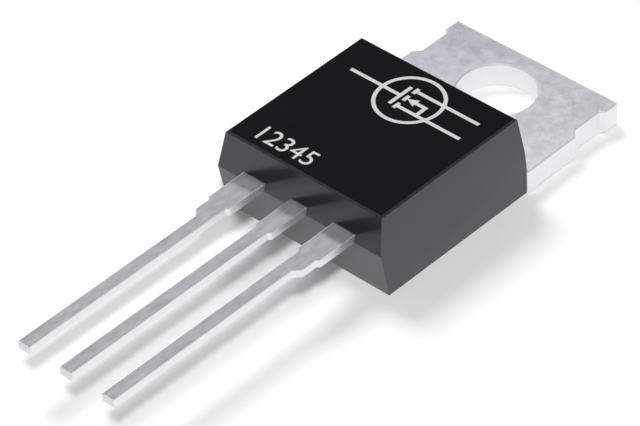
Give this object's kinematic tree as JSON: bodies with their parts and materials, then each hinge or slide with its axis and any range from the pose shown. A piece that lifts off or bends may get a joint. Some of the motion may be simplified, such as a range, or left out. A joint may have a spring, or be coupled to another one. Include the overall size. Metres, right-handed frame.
{
  "type": "power transistor",
  "caption": "Three-lead power transistor in a flat moulded package, with a drilled metal tab that is screwed or clipped to a heat sink.",
  "frame": {"origin": "centre of the mounting hole, on the mounting face", "axes": "+Z along the hole, away from the mounting face; +Y towards the free end of the tab, with the leads pointing to -Y; +X to the right when the leads point at the viewer and the moulded top is up"},
  "size_m": [0.01, 0.0302, 0.0044],
  "materials": {
    "moulded_body": "semi-gloss black moulding compound",
    "plated_metal": "satin tin-plated copper",
    "silicon": "polished silicon with a metallised top",
    "solder": "dull grey solder",
    "bond_wire": "bright drawn wire"
  },
  "bodies": {
    "root": {"moulded_body": "moulded_body", "heat_spreader": "plated_metal", "gate_lead": "plated_metal", "source_lead": "plated_metal", "silicon_die": "silicon", "die_solder": "solder", "gate_wire": "bond_wire", "source_wire_inner": "bond_wire", "source_wire_outer": "bond_wire"}
  },
  "joints": []
}
